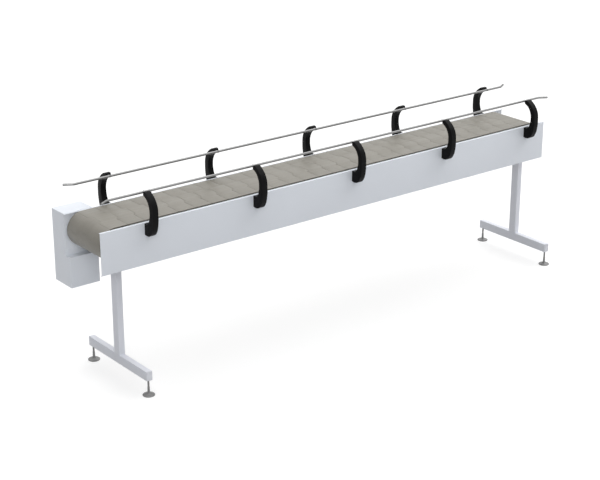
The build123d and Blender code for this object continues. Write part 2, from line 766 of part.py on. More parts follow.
def beam_plug(x, side):
    face = side * beam_length / 2
    middle = (beam_bottom_z + beam_top_z) / 2
    flange = extrude(fillet(Rectangle(post_width_x, beam_height).vertices(), tube_corner), plug_flange)
    room = 2 * (tube_wall + plug_clearance)
    core_face = fillet(Rectangle(post_width_x - room, beam_height - room).vertices(), tube_corner - tube_wall)
    core = extrude(core_face, plug_flange + plug_depth)
    turn = Rot(90, 0, 0) if side > 0 else Rot(-90, 0, 0)
    return Pos(x, face, middle) * turn * (flange + core)


def stand_head(x):
    """An upside-down channel between the panels, with tabs up their inner faces. The post stands in it."""
    y = panel_inner_y
    half = head_width / 2
    body = box_between((x - half, -y, head_top_z - head_height), (x + half, y, head_top_z))
    body -= box_between((x - half + head_sheet, -y + head_sheet, head_top_z - head_height - overrun),
                        (x + half - head_sheet, y - head_sheet, head_top_z - head_sheet))
    for side in (-1, 1):
        outside = side * (y + overrun)
        inside = side * (y - head_sheet - overrun)
        body -= bar_y(stud_radius + bolt_hole_clearance, outside, inside, x, head_stud_z)
    low, high = head_top_z - head_sheet - overrun, head_top_z + overrun
    for bolt_y in head_bolt_ys:
        body -= bar_z(head_bolt_radius + bolt_hole_clearance, low, high, x, bolt_y)
    return body


def stand_bolt(x, y):
    head = extrude(RegularPolygon(nut_across_flats / 2, 6, major_radius=False), bolt_head_height)
    shank = bar_z(head_bolt_radius, head_top_z - head_bolt_length, head_top_z, x, y)
    return Pos(x, y, head_top_z) * head + shank


def foot_pad(x, y):
    """A round pad with a long tapered sleeve, which the spindle stands in."""
    outline = Polyline((0, 0), (pad_radius, 0), (pad_radius, pad_edge), (pad_sleeve_radius, pad_dish_height),
                       (pad_sleeve_top_radius, pad_sleeve_height), (0, pad_sleeve_height), close=True)
    body = revolve(Plane.XZ * make_face(outline), Axis.Z)
    body -= bar_z(spindle_radius + seat_clearance, pad_socket_floor, pad_sleeve_height + overrun, 0, 0)
    return Pos(x, y, 0) * body


def foot_spindle(x, y):
    body = bar_z(spindle_radius, pad_socket_floor, spindle_top_z, x, y)
    return chamfer(body.edges().group_by(Axis.Z)[-1], spindle_chamfer)


def foot_nut(x, y):
    low = beam_bottom_z + tube_wall
    high = low + foot_nut_height
    outline = RegularPolygon(foot_nut_across_flats / 2, 6, major_radius=False)
    body = Pos(x, y, low) * extrude(outline, foot_nut_height)
    return body - bar_z(spindle_radius + running_clearance, low - overrun, high + overrun, x, y)


def make_stands():
    for name, x in zip(("drive_end", "idler_end"), stand_xs):
        save(name + "_post", post(x))
        save(name + "_beam", beam(x))
    save("beam_plugs", *[beam_plug(x, side) for x in stand_xs for side in (-1, 1)])
    save("stand_heads", *[stand_head(x) for x in stand_xs])
    save("stand_bolts", *[stand_bolt(x, y) for x in stand_xs for y in head_bolt_ys])
    save("foot_nuts", *[foot_nut(x, y) for x in stand_xs for y in foot_ys])
    places = [(x, y) for x in stand_xs for y in foot_ys]
    for n, (x, y) in enumerate(places):
        save("foot_pad_%d" % (n + 1), foot_pad(x, y))
        save("foot_spindle_%d" % (n + 1), foot_spindle(x, y))


# Guide brackets, clips and rails

def bracket_solid():
    """One curved bracket on the near panel, drawn outward from the panel face and extruded along X."""
    heel = [(0, -bracket_block_depth + bracket_edge)]
    heel += [(u * bracket_reach, v * bracket_block_depth) for u, v in bracket_heel_shares]
    back = [(u * bracket_reach, v * bracket_rise) for u, v in bracket_back_shares]
    crown = (bracket_crown_share * bracket_reach, bracket_rise)
    outer = Spline(*heel, *back, crown)
    tip_high = (-bracket_tip_in, bracket_rise)
    tip_low = (-bracket_tip_in, bracket_rise - bracket_tip_height)
    hollow = [(u * bracket_reach, v * bracket_rise) for u, v in bracket_hollow_shares]
    corner = (bracket_arm_inner, -bracket_block_top)
    inner = Spline(tip_low, *hollow, corner)
    lines = [outer, Line(crown, tip_high), Line(tip_high, tip_low), inner]
    lines += [Line(corner, (0, -bracket_block_top)), Line((0, -bracket_block_top), heel[0])]
    outline = make_face(Wire(lines))
    outline = fillet([v for v in outline.vertices() if v.X < 0], bracket_tip_round)
    body = extrude(outline, bracket_thickness / 2, both=True)
    rims = body.edges().group_by(Axis.Z)
    free_rims = [e for e in rims[0] + rims[-1] if abs(e.center().X) > seat_clearance]
    return fillet(free_rims, bracket_edge)


def bracket(solid, x, side):
    """The bracket's drawing has X outward from the panel and Y up, so it is turned to stand on the panel."""
    standing = Plane((x, side * half_width, panel_top_z), x_dir=(0, side, 0), z_dir=(side, 0, 0))
    shallow = side * (half_width - overrun)
    deep = side * (half_width + bracket_bolt_length)
    hole = bar_y(stud_radius + seat_clearance, shallow, deep, x, bracket_bolt_z)
    return standing.location * solid - hole


def bracket_bolt(x, side):
    inner = side * panel_inner_y
    tip = side * (half_width + bracket_bolt_length - seat_clearance)
    head = prism_y(6, nut_across_flats / 2, inner, inner - side * bolt_head_height, x, bracket_bolt_z)
    return head + bar_y(stud_radius, inner, tip, x, bracket_bolt_z)


def rail_clip(x, side):
    """A short arm from a bracket's tip, with an open ring that the rail snaps into."""
    x0, x1 = x - clip_width / 2, x + clip_width / 2
    tip = side * (half_width - bracket_tip_in)
    rail_y = side * rail_half_gap
    y0, y1 = sorted((tip, rail_y))
    body = box_between((x0, y0, rail_z - clip_height / 2), (x1, y1, rail_z + clip_height / 2))
    reach = rail_radius + clip_ring
    body += bar_x(reach, x0, x1, rail_y, rail_z)
    body -= bar_x(rail_radius + seat_clearance, x0 - overrun, x1 + overrun, rail_y, rail_z)
    y0, y1 = sorted((rail_y - side * clip_mouth_inset, rail_y - side * (reach + overrun)))
    return body - box_between((x0 - overrun, y0, rail_z - reach), (x1 + overrun, y1, rail_z + reach))


def guide_rail(side):
    """A round rail with its two ends bent outward, so that goods enter without catching."""
    slant = rail_flare_out / (rail_flare_out ** 2 + rail_flare_length ** 2) ** 0.5
    start = drive_end_x + rail_start_inset
    end = idler_end_x + rail_overhang - rail_radius * slant
    y = side * rail_half_gap
    flared = side * (rail_half_gap + rail_flare_out)
    points = [(start, flared, rail_z), (start + rail_flare_length, y, rail_z),
              (end - rail_flare_length, y, rail_z), (end, flared, rail_z)]
    path = FilletPolyline(*points, radius=rail_bend_radius)
    section = Plane(path @ 0, z_dir=path % 0) * Circle(rail_radius)
    return sweep(section, path)


def make_guides():
    solid = bracket_solid()
    for name, side in (("near", -1), ("far", 1)):
        for n, x in enumerate(bracket_xs):
            save("%s_bracket_%d" % (name, n + 1), bracket(solid, x, side))
        save(name + "_guide_rail", guide_rail(side))
    sides = [(x, side) for side in (-1, 1) for x in bracket_xs]
    save("rail_clips", *[rail_clip(x, side) for x, side in sides])
    save("bracket_bolts", *[bracket_bolt(x, side) for x, side in sides])


os.makedirs("parts", exist_ok=True)
make_panels()
make_frame_inside()
make_chain()
make_shafts()
make_drive()
make_stands()
make_guides()
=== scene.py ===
import json
import math

import bmesh
import bpy
from mathutils import Matrix, Vector

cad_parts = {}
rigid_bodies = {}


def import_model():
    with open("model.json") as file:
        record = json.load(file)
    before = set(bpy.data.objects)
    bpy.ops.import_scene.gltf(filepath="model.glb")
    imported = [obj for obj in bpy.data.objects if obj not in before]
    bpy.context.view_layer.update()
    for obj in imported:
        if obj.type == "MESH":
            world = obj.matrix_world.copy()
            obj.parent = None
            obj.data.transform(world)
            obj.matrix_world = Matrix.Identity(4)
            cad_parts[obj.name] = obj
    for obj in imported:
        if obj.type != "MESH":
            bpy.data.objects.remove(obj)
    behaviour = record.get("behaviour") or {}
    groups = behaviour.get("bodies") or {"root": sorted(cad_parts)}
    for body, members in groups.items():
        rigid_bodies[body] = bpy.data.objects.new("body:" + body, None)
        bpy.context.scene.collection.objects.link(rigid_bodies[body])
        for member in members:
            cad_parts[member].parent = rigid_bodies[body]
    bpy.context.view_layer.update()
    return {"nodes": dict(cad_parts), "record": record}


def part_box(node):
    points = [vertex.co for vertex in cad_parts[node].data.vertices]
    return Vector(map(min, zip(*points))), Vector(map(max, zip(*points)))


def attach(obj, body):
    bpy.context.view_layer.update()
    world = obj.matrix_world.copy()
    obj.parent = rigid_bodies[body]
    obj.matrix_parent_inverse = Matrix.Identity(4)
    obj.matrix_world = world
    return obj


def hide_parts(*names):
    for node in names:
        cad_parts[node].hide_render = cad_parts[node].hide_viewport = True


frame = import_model()

# Sizes in metres that the frame doesn't give by itself

# Sheet and tube
SHEET = 0.003
SHEET_EDGE = 0.0004
LIP = 0.010
FOLD_RADIUS = 0.0045
COVER_SHEET = 0.002
COVER_EDGE = 0.0022
TUBE_CORNER = 0.0025
PLUG_EDGE = 0.0012

# Levelling feet. A step is a radius and a height above the floor.
FOOT_COUNT = 4
FOOT_RISE = 0.018  # how far a foot can be screwed up from where it stands
PAD_EDGE = 0.001
PAD_RIM = 0.005
PAD_CROWN_SHARE = 0.62  # of the pad's radius
PAD_CROWN_HEIGHT = 0.0078
NECK_STEPS = [(0.0105, 0.0102), (0.0084, 0.0118), (0.0076, 0.014), (0.0063, 0.022)]
NECK_TOP_RADIUS = 0.0057
NECK_TOP_EDGE = 0.0003
THREAD_PITCH = 0.0015
THREAD_DEPTH = 0.0004
SPINDLE_SIDES = 24
ROUND_SIDES = 48

# Chain
PLATE_PITCH = 0.0975
PLATE_THICKNESS = 0.005
PLATE_EDGE = 0.0004
SEAM_GAP = 0.0012
NOSE_SEAM_GAP = 0.0005  # between the plates that bend round the wheels
TONGUE_DEPTH = 0.018
TONGUE_WIDE = 0.104
TONGUE_NARROW = 0.080
KNUCKLE_RADIUS = 0.006
KNUCKLE_DROP = 0.004
KNUCKLE_LENGTH = 0.038
KNUCKLE_GAP = 0.0015
KNUCKLE_SIDES = 16
HINGE_PIN_RADIUS = 0.003
WHEEL_POCKETS = 11  # two to a plate
RUN_QUARTERS = 115  # quarters of the pitch from one wheel's axis to the other's
CHAIN_ADVANCE_SHARE = 0.72  # how far the first plate has come along its pitch
WRAP_CUTS = 20  # strips along a plate that bends round a wheel

# Guide rails and their clips
RAIL_RADIUS = 0.006
RAIL_EDGE = 0.0008
RAIL_FLARE = 0.046  # length of the bent end, measured along the conveyor
RAIL_BEND_RADIUS = 0.024
RAIL_HALF_GAP = 0.1525
RAIL_SET_DOWN = 0.001  # under the solids' rail
CLIP_RING = 0.0012
CLIP_RING_EDGE = 0.0005
CLIP_HEIGHT = 0.005
CLIP_WIDTH = 0.007
CLIP_EDGE = 0.001
CLIP_MOUTH = math.radians(76)  # half of the ring's opening

# Guide brackets. Heel points are shares of the reach and of the block's depth, the others
# shares of the reach and of the rise over the panel.
BRACKETS_PER_SIDE = 5
BRACKET_EDGE = 0.002
HEEL_SHARES = [(0.27, -1.0), (0.56, -0.91), (0.81, -0.55)]
BACK_SHARES = [(0.96, 0.02), (1.0, 0.31), (0.96, 0.56), (0.835, 0.71), (0.64, 0.835), (0.39, 0.94)]
CROWN_SHARE = 0.15
HOLLOW_SHARES = [(0.21, 0.81), (0.38, 0.735), (0.51, 0.63), (0.595, 0.51),
                 (0.62, 0.38), (0.595, 0.23), (0.51, 0.09), (0.42, 0.012)]
BLOCK_TOP = 0.005  # under the panel's top edge
ARM_INNER = 0.022  # where the hollow meets the block, out from the panel
TIP_IN = 0.003  # past the panel's outer face
TIP_HEIGHT = 0.020
TIP_ROUND = 0.006

# Floor, light and camera
FLOOR_SIZE = 60
FLOOR_GREY = (0.55, 0.55, 0.55)
FLOOR_GLOW_SEEN = 0.53
WORLD_LIGHT = 0.175
WORLD_LIGHT_SEEN = 1.0
CAMERA_PLACE = (-4.870, -5.9505, 3.351)
CAMERA_AIM = (0.5785, 0.7339, -0.3558)
CAMERA_LENS = 90.59
CAMERA_SENSOR = 36.0

# Places read from the frame
panel_low, panel_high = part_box("near_side_panel")
panel_mid = (panel_low + panel_high) / 2
drive_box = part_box("drive_shaft")
idler_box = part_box("idler_shaft")
carry_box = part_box("chain_carry_run")
HALF_WIDTH = -panel_low.y
BELT_HALF = carry_box[1].y
DRIVE_X = (drive_box[0].x + drive_box[1].x) / 2
AXIS_Z = (idler_box[0].z + idler_box[1].z) / 2
NEUTRAL_RADIUS = WHEEL_POCKETS * PLATE_PITCH / (4 * math.pi)
RUN = RUN_QUARTERS * PLATE_PITCH / 4
WRAP = math.pi * NEUTRAL_RADIUS
IDLER_X = DRIVE_X + RUN
PLATE_COUNT = round((2 * RUN + 2 * WRAP) / PLATE_PITCH)


# Working in Blender

def clear_selection():
    if bpy.context.object is not None and bpy.context.object.mode != "OBJECT":
        bpy.ops.object.mode_set(mode="OBJECT")
    bpy.ops.object.select_all(action="DESELECT")


def activate(obj):
    clear_selection()
    obj.select_set(True)
    bpy.context.view_layer.objects.active = obj


def set_places(obj):
    """Leave the piece at the origin, with its place in its mesh."""
    activate(obj)
    bpy.ops.object.transform_apply(location=True, rotation=True, scale=True)


def block(name, low, high):
    low, high = Vector(low), Vector(high)
    clear_selection()
    bpy.ops.mesh.primitive_cube_add(size=1, location=(low + high) / 2)
    obj = bpy.context.object
    obj.name = name
    obj.scale = high - low
    set_places(obj)
    return obj


def pick(obj, kind, wanted):
    """In edit mode, select the parts of one kind whose middle passes the test."""
    modes = tuple(kind == k for k in ("verts", "edges", "faces"))
    bpy.context.tool_settings.mesh_select_mode = modes
    bm = bmesh.from_edit_mesh(obj.data)
    for group in (bm.verts, bm.edges, bm.faces):
        for item in group:
            item.select = False
    for item in getattr(bm, kind):
        corners = [item.co] if kind == "verts" else [v.co for v in item.verts]
        if wanted(sum(corners, Vector()) / len(corners)):
            item.select_set(True)
    bm.select_flush_mode()
    bmesh.update_edit_mesh(obj.data)


def edit(obj):
    activate(obj)
    bpy.ops.object.mode_set(mode="EDIT")


def done():
    bpy.ops.object.mode_set(mode="OBJECT")


def fix_normals(obj):
    edit(obj)
    bpy.ops.mesh.select_all(action="SELECT")
    bpy.ops.mesh.remove_doubles(threshold=0.000001)
    bpy.ops.mesh.normals_make_consistent(inside=False)
    done()


def apply_modifier(obj, kind, **settings):
    activate(obj)
    modifier = obj.modifiers.new(kind.title(), kind)
    for key, value in settings.items():
        setattr(modifier, key, value)
    bpy.ops.object.modifier_apply(modifier=modifier.name)


def smooth(obj, angle=35):
    activate(obj)
    bpy.ops.object.shade_smooth_by_angle(angle=math.radians(angle))


def bevel_edges(obj, width, segments, angle):
    apply_modifier(obj, "BEVEL", width=width, segments=segments, limit_method="ANGLE",
                   angle_limit=math.radians(angle))


def soften_edges(obj, width, segments, angle):
    bevel_edges(obj, width, segments, angle)
    smooth(obj)


def joined(objects, name):
    clear_selection()
    for obj in objects:
        obj.select_set(True)
    bpy.context.view_layer.objects.active = objects[0]
    bpy.ops.object.join()
    result = bpy.context.object
    result.name = name
    return result


def copied(obj, name, matrix):
    """A copy with its own mesh, moved by a matrix. Where that mirrors it, its faces are turned."""
    twin = obj.copy()
    twin.data = obj.data.copy()
    twin.name = name
    bpy.context.scene.collection.objects.link(twin)
    twin.data.transform(matrix)
    if matrix.determinant() < 0:
        twin.data.flip_normals()
    return twin


def mesh_from(curve, name):
    """A mesh piece made from a curve's data."""
    drawn = bpy.data.objects.new(name, curve)
    bpy.context.scene.collection.objects.link(drawn)
    activate(drawn)
    bpy.ops.object.convert(target="MESH")
    obj = bpy.context.object
    fix_normals(obj)
    return obj


def turned(name, x, y, profile, sides=ROUND_SIDES):
    """A round piece about an upright axis, from (radius, height) steps that start at its foot."""
    radius, height = profile[0]
    clear_selection()
    bpy.ops.mesh.primitive_circle_add(vertices=sides, radius=radius, fill_type="NGON",
                                      location=(0, 0, height))
    obj = bpy.context.object
    obj.name = name
    edit(obj)
    bpy.ops.mesh.select_all(action="SELECT")
    for next_radius, next_height in profile[1:]:
        rise = next_height - height
        bpy.ops.mesh.extrude_region_move(TRANSFORM_OT_translate={"value": (0, 0, rise)})
        share = next_radius / radius
        bpy.ops.transform.resize(value=(share, share, 1))
        radius, height = next_radius, next_height
    done()
    set_places(obj)
    obj.data.transform(Matrix.Translation((x, y, 0)))
    fix_normals(obj)
    smooth(obj)
    return obj


def finish_piece(obj, body, material, slot, *nodes):
    obj.data.materials.clear()
    obj.data.materials.append(material)
    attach(obj, body)
    if nodes:
        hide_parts(*nodes)
    return obj


# Materials

def shade(color, factor):
    return tuple(c * factor for c in color)


class Shader:
    """A new node material, with short calls for the nodes that these finishes need."""

    def __init__(self, name, color, roughness, metallic=0.0):
        self.material = bpy.data.materials.new(name)
        self.material.use_nodes = True
        self.tree = self.material.node_tree
        self.surface = self.tree.nodes["Principled BSDF"]
        self.set("Base Color", (*color, 1))
        self.set("Roughness", roughness)
        self.set("Metallic", metallic)
        self.place = self.tree.nodes.new("ShaderNodeTexCoord").outputs["Object"]

    def link(self, source, target):
        self.tree.links.new(source, target)

    def set(self, socket, value):
        self.surface.inputs[socket].default_value = value

    def feed(self, value, socket):
        self.link(value, self.surface.inputs[socket])

    def noise(self, scale, detail=2.0, stretch=(1, 1, 1)):
        mapping = self.tree.nodes.new("ShaderNodeMapping")
        mapping.inputs["Scale"].default_value = stretch
        self.link(self.place, mapping.inputs["Vector"])
        noise = self.tree.nodes.new("ShaderNodeTexNoise")
        noise.inputs["Scale"].default_value = scale
        noise.inputs["Detail"].default_value = detail
        self.link(mapping.outputs["Vector"], noise.inputs["Vector"])
        return noise.outputs["Fac"]

    def spread(self, value, low, high, from_low=0.3, from_high=0.7):
        node = self.tree.nodes.new("ShaderNodeMapRange")
        node.inputs["From Min"].default_value = from_low
        node.inputs["From Max"].default_value = from_high
        node.inputs["To Min"].default_value = low
        node.inputs["To Max"].default_value = high
        self.link(value, node.inputs["Value"])
        return node.outputs["Result"]

    def blend(self, factor, first, second):
        node = self.tree.nodes.new("ShaderNodeMix")
        node.data_type = "RGBA"
        self.link(factor, node.inputs["Factor"])
        for value, socket in ((first, node.inputs["A"]), (second, node.inputs["B"])):
            if isinstance(value, tuple):
                socket.default_value = (*value, 1)
            else:
                self.link(value, socket)
        return node.outputs["Result"]

    def mottled(self, value, first, second):
        """Two colours that change places with a noise value."""
        return self.blend(self.spread(value, 0, 1), first, second)

    def bump(self, height, strength, distance):
        node = self.tree.nodes.new("ShaderNodeBump")
        node.inputs["Strength"].default_value = strength
        node.inputs["Distance"].default_value = distance
        self.link(height, node.inputs["Height"])
        self.feed(node.outputs["Normal"], "Normal")


def powder_coat(name, color):
    """Smooth white powder coat with a faint orange peel."""
    shader = Shader(name, color, 0.38)
    shader.set("Specular IOR Level", 0.3)
    shader.feed(shader.mottled(shader.noise(3.0), color, shade(color, 0.975)), "Base Color")
    shader.feed(shader.spread(shader.noise(40.0), 0.34, 0.44), "Roughness")
    shader.bump(shader.noise(420.0, 1.0), strength=0.10, distance=0.0004)
    return shader.material


def chain_plastic():
    """Warm grey plates, each a little lighter or darker, with long scuffs where goods have slid."""
    color = (0.230, 0.217, 0.188)
    scuffed = (0.250, 0.237, 0.208)
    shader = Shader("chain_plate_plastic", color, 0.48)
    tone = shader.tree.nodes.new("ShaderNodeAttribute")
    tone.attribute_name = "plate_tone"
    plain = shader.blend(tone.outputs["Fac"], shade(color, 0.982), shade(color, 1.018))
    scuffs = shader.spread(shader.noise(60.0, 3.0, stretch=(0.04, 1, 1)), 0, 0.24, 0.5, 0.8)
    shader.feed(shader.blend(scuffs, plain, scuffed), "Base Color")
    wear = shader.noise(55.0, 3.0, stretch=(0.05, 1, 1))
    shader.feed(shader.spread(wear, 0.43, 0.55), "Roughness")
    shader.bump(shader.noise(900.0, 2.0), strength=0.12, distance=0.0003)
    return shader.material


def moulded_plastic(name, color, roughness, grain=0.15, gloss=0.5):
    shader = Shader(name, color, roughness)
    shader.set("Specular IOR Level", gloss)
    shader.feed(shader.mottled(shader.noise(25.0), color, shade(color, 1.2)), "Base Color")
    shader.feed(shader.spread(shader.noise(80.0), roughness - 0.05, roughness + 0.07), "Roughness")
    shader.bump(shader.noise(1300.0, 2.0), strength=grain, distance=0.0003)
    return shader.material


def bare_steel(name, color, roughness, stretch=(1, 1, 1), metallic=1.0):
    """Steel with fine marks along the way it was drawn or turned."""
    shader = Shader(name, color, roughness, metallic)
    lines = shader.noise(700.0, 3.0, stretch)
    shader.feed(shader.mottled(lines, color, shade(color, 0.86)), "Base Color")
    sheen = shader.noise(120.0, 2.0, stretch)
    shader.feed(shader.spread(sheen, roughness - 0.06, roughness + 0.08), "Roughness")
    shader.bump(lines, strength=0.08, distance=0.0002)
    return shader.material


def cast_metal(name, color):
    shader = Shader(name, color, 0.55)
    shader.feed(shader.mottled(shader.noise(90.0), color, shade(color, 1.15)), "Base Color")
    shader.bump(shader.noise(500.0, 3.0), strength=0.3, distance=0.0005)
    return shader.material


finishes = {
    "panel_paint": powder_coat("white_panel_coat", (0.82, 0.857, 0.918)),
    "stand_paint": powder_coat("white_stand_coat", (0.84, 0.862, 0.93)),
    "chain_plastic": chain_plastic(),
    "clip_plastic": moulded_plastic("grey_clip_plastic", (0.22, 0.22, 0.22), 0.5,
                                    grain=0.1, gloss=0.2),
    "bracket_plastic": moulded_plastic("black_bracket_plastic", (0.0045, 0.0046, 0.0050), 0.45,
                                       gloss=0.07),
    "rail_steel": bare_steel("drawn_rail_steel", (0.22, 0.22, 0.22), 0.34, stretch=(0.02, 1, 1)),
    "shaft_steel": bare_steel("turned_shaft_steel", (0.55, 0.56, 0.57), 0.28,
                              stretch=(1, 0.05, 1)),
    "plated_steel": bare_steel("zinc_plated_steel", (0.62, 0.63, 0.64), 0.36),
    "wheel_plastic": moulded_plastic("natural_nylon", (0.62, 0.60, 0.54), 0.45),
    "strip_plastic": moulded_plastic("slide_strip_plastic", (0.70, 0.72, 0.70), 0.40),
    "roller_plastic": moulded_plastic("roller_plastic", (0.035, 0.035, 0.038), 0.45),
    "bearing_iron": cast_metal("bearing_iron", (0.10, 0.11, 0.125)),
    "drive_iron": cast_metal("grey_machine_enamel", (0.22, 0.235, 0.25)),
    "foot_steel": bare_steel("dull_foot_steel", (0.235, 0.235, 0.235), 0.50, metallic=0.25),
    "plug_plastic": moulded_plastic("white_plug_plastic", (0.72, 0.735, 0.79), 0.45, grain=0.05),
}


# Machine parts that keep their solids' own shapes

def finish_cad_nodes():
    """Give every node its slot's finish. The drive box's screws were painted over with the box."""
    for part in frame["record"]["subparts"]:
        obj = frame["nodes"][part["node"]]
        slot = "panel_paint" if part["node"] == "cover_screws" else part["material_slot"]
        obj.data.materials.clear()
        obj.data.materials.append(finishes[slot])


def turned_part(node, body, slot):
    """A round machine part: its mesh is joined up, so that its turned faces are shaded smooth."""
    obj = bpy.data.objects.new("fine_" + node, frame["nodes"][node].data.copy())
    bpy.context.scene.collection.objects.link(obj)
    edit(obj)
    bpy.ops.mesh.select_all(action="SELECT")
    bpy.ops.mesh.remove_doubles(threshold=0.00001)
    bpy.ops.mesh.select_all(action="DESELECT")
    done()
    smooth(obj, angle=30)
    return finish_piece(obj, body, finishes[slot], slot, node)


def make_machine_parts():
    parts = [("return_roller_%d" % n, "roller_%d" % n, "roller_plastic") for n in range(1, 4)]
    parts += [("roller_shafts", "frame", "shaft_steel"),
              ("drive_shaft", "drive_wheelset", "shaft_steel"),
              ("drive_wheels", "drive_wheelset", "wheel_plastic"),
              ("drive_discs", "drive_wheelset", "wheel_plastic"),
              ("idler_shaft", "idler_wheelset", "shaft_steel"),
              ("idler_discs", "idler_wheelset", "wheel_plastic"),
              ("drive_bearings", "frame", "bearing_iron"),
              ("idler_bearings", "frame", "bearing_iron"),
              ("gearbox_housing", "frame", "drive_iron"),
              ("motor_body", "frame", "drive_iron"),
              ("motor_cowl", "frame", "drive_iron")]
    for node, body, slot in parts:
        turned_part(node, body, slot)


# Chain

def path_place(s, y, height):
    """The place of a point s along the chain, y across it and height out from its neutral line."""
    s = s % (2 * RUN + 2 * WRAP)
    radius = NEUTRAL_RADIUS + height
    if s <= RUN:
        return Vector((DRIVE_X + s, y, AXIS_Z + radius))
    if RUN + WRAP <= s <= 2 * RUN + WRAP:
        return Vector((IDLER_X - (s - RUN - WRAP), y, AXIS_Z - radius))
    round_idler = s < RUN + WRAP
    centre = IDLER_X if round_idler else DRIVE_X
    turn = (s - RUN if round_idler else s - 2 * RUN) / NEUTRAL_RADIUS
    return Vector((centre + radius * math.sin(turn), y, AXIS_Z + radius * math.cos(turn)))


def plate_blank(name, cuts, gap):
    """One plate lying flat at the origin, with x along the chain and its neutral line at z = 0."""
    half = PLATE_THICKNESS / 2
    length = PLATE_PITCH - gap
    obj = block(name, (gap / 2, -BELT_HALF, -half), (gap / 2 + length, BELT_HALF, half))
    edit(obj)
    for y in (-TONGUE_WIDE / 2, -TONGUE_NARROW / 2, TONGUE_NARROW / 2, TONGUE_WIDE / 2):
        bpy.ops.mesh.select_all(action="SELECT")
        bpy.ops.mesh.bisect(plane_co=(0, y, 0), plane_no=(0, 1, 0))
    for n in range(1, cuts):
        bpy.ops.mesh.select_all(action="SELECT")
        bpy.ops.mesh.bisect(plane_co=(gap / 2 + length * n / cuts, 0, 0), plane_no=(1, 0, 0))
    reach = TONGUE_NARROW / 2 + gap / 2
    pick(obj, "verts", lambda p: abs(p.y) < reach)
    bpy.ops.transform.translate(value=(TONGUE_DEPTH, 0, 0))
    done()
    bevel_edges(obj, PLATE_EDGE, segments=2, angle=50)
    return obj


def knuckle(x, y0, y1, radius):
    """A round bar across the chain, under its plates."""
    z = -PLATE_THICKNESS / 2 - KNUCKLE_DROP
    clear_selection()
    bpy.ops.mesh.primitive_cylinder_add(vertices=KNUCKLE_SIDES, radius=radius, depth=y1 - y0,
                                        rotation=(math.pi / 2, 0, 0),
                                        location=(x, (y0 + y1) / 2, z))
    obj = bpy.context.object
    set_places(obj)
    soften_edges(obj, PLATE_EDGE, segments=2, angle=60)
    return obj


def link_blank(name, cuts, gap):
    """A plate with two outer knuckles, their pin, and the middle knuckle at its other end."""
    x = TONGUE_DEPTH / 2
    start = TONGUE_WIDE / 2 + KNUCKLE_GAP
    end = start + KNUCKLE_LENGTH
    middle = TONGUE_NARROW / 2 - KNUCKLE_GAP
    pieces = [plate_blank(name, cuts, gap),
              knuckle(x, -end, -start, KNUCKLE_RADIUS),
              knuckle(x, start, end, KNUCKLE_RADIUS),
              knuckle(x, -end, end, HINGE_PIN_RADIUS),
              knuckle(PLATE_PITCH + x, -middle, middle, KNUCKLE_RADIUS)]
    return joined(pieces, name)


def plate_tone(k):
    """A steady, uneven shade for plate k, from 0 to 1."""
    return (math.sin(k * 12.9898) * 43758.5453) % 1


def chain_stretch(name, blank, first, last, node):
    """Links first to last, each a copy of the blank laid along the chain's path."""
    links = []
    for k in range(first, last + 1):
        link = copied(blank, "link", Matrix.Identity(4))
        start = (k + CHAIN_ADVANCE_SHARE) * PLATE_PITCH
        for vertex in link.data.vertices:
            vertex.co = path_place(start + vertex.co.x, vertex.co.y, vertex.co.z)
        tone = link.data.attributes.new("plate_tone", "FLOAT", "POINT")
        tone.data.foreach_set("value", [plate_tone(k)] * len(link.data.vertices))
        links.append(link)
    obj = joined(links, name)
    smooth(obj, angle=30)
    return finish_piece(obj, "frame", finishes["chain_plastic"], "chain_plastic", node)


def make_chain():
    """The whole loop. Links that touch a wheel's arc are cut in strips, so that they can bend."""
    reach = CHAIN_ADVANCE_SHARE * PLATE_PITCH + PLATE_PITCH + TONGUE_DEPTH
    first_idler = int((RUN - reach) / PLATE_PITCH) + 1
    first_return = int((RUN + WRAP) / PLATE_PITCH - CHAIN_ADVANCE_SHARE) + 1
    first_drive = int((2 * RUN + WRAP - reach) / PLATE_PITCH) + 1
    flat = link_blank("flat_link", 1, SEAM_GAP)
    bent = link_blank("bent_link", WRAP_CUTS, NOSE_SEAM_GAP)
    chain_stretch("chain_plates_carry", flat, 0, first_idler - 1, "chain_carry_run")
    chain_stretch("chain_plates_return", flat, first_return, first_drive - 1, "chain_return_run")
    chain_stretch("chain_plates_idler_end", bent, first_idler, first_return - 1,
                  "chain_idler_wrap")
    chain_stretch("chain_plates_drive_end", bent, first_drive, PLATE_COUNT - 1,
                  "chain_drive_wrap")
    for blank in (flat, bent):
        bpy.data.objects.remove(blank)


# Side panels

def side_panel(name, side, node):
    """A folded sheet: the wall, a lip turned in along its top and bottom, and its thickness."""
    outer = side * HALF_WIDTH

    def wall_edge_at(z):
        return lambda p: abs(p.z - z) < SHEET / 2 and abs(p.y - outer) < SHEET / 2

    clear_selection()
    bpy.ops.mesh.primitive_plane_add(size=1, rotation=(math.pi / 2, 0, 0),
                                     location=(panel_mid.x, outer, panel_mid.z))
    obj = bpy.context.object
    obj.name = name
    obj.scale = (panel_high.x - panel_low.x, panel_high.z - panel_low.z, 1)
    set_places(obj)
    edit(obj)
    for z in (panel_low.z, panel_high.z):
        pick(obj, "edges", wall_edge_at(z))
        bpy.ops.mesh.extrude_region_move(TRANSFORM_OT_translate={"value": (0, -side * LIP, 0)})
    for z in (panel_low.z, panel_high.z):
        pick(obj, "edges", wall_edge_at(z))
        bpy.ops.mesh.bevel(offset=FOLD_RADIUS, segments=6, affect="EDGES")
    bpy.ops.mesh.select_all(action="SELECT")
    bpy.ops.mesh.normals_make_consistent(inside=False)
    done()
    outward = sum(p.normal.y * p.area for p in obj.data.polygons)
    if outward * side < 0:
        obj.data.flip_normals()
    apply_modifier(obj, "SOLIDIFY", thickness=SHEET, offset=-1)
    soften_edges(obj, SHEET_EDGE, segments=2, angle=60)
    return finish_piece(obj, "frame", finishes["panel_paint"], "panel_paint", node)


# Drive box

